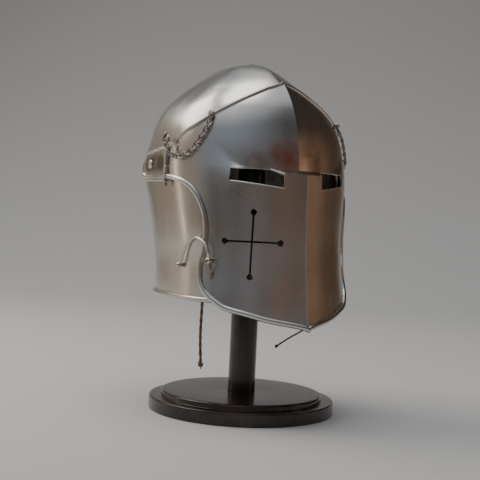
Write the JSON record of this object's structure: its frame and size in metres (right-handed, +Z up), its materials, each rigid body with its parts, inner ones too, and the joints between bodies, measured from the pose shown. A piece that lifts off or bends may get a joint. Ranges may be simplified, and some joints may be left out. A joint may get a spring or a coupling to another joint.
{
  "type": "visored barbute on a display stand",
  "caption": "Polished steel barbute with a lifting pierced visor, side arms, chained hinge pins, hook and chin laces, on a plain round display stand.",
  "frame": {"origin": "middle of the stand base's underside", "axes": "+Z up through the post, -Y the way the face looks, +X the wearer's left"},
  "size_m": [0.244, 0.2837, 0.408],
  "materials": {
    "polished_steel": "polished, softly scratched and slightly tarnished",
    "visor_steel": "polished, softly scratched and slightly tarnished",
    "hook_steel": "polished",
    "dark_steel": "dull, brownish",
    "chain_steel": "tarnished dark, worn bright on its high places",
    "lace_leather": "dry, worn",
    "stand_wood": "dark brown lacquer, soft sheen"
  },
  "bodies": {
    "helmet": {"skull": "polished_steel", "stand_base": "stand_wood", "post": "stand_wood", "pivot_rivet_right": "visor_steel", "pivot_rivet_left": "visor_steel", "lace_right": "lace_leather", "lace_left": "lace_leather", "lace_knot_right": "lace_leather", "lace_knot_left": "lace_leather"},
    "visor": {"visor": "visor_steel", "side_arm_right": "visor_steel", "side_arm_left": "visor_steel", "hinge_pin_right": "dark_steel", "hinge_pin_left": "dark_steel", "chain_stud_right": "dark_steel", "chain_stud_left": "dark_steel", "pin_chain_right": "chain_steel", "pin_chain_left": "chain_steel", "visor_peg": "hook_steel", "split_pin": "dark_steel"},
    "hook": {"hook": "hook_steel"}
  },
  "joints": [
    {"name": "visor_lift", "type": "hinge", "parent": "helmet", "child": "visor", "pos_m": [0, 0.045, 0.283], "axis": [-1, 0, 0], "range_deg": [0, 75]},
    {"name": "hook_swing", "type": "hinge", "parent": "visor", "child": "hook", "pos_m": [-0.0962, -0.069, 0.1794], "axis": [0.9888, 0.096, 0.114], "range_deg": [0, 120]}
  ]
}
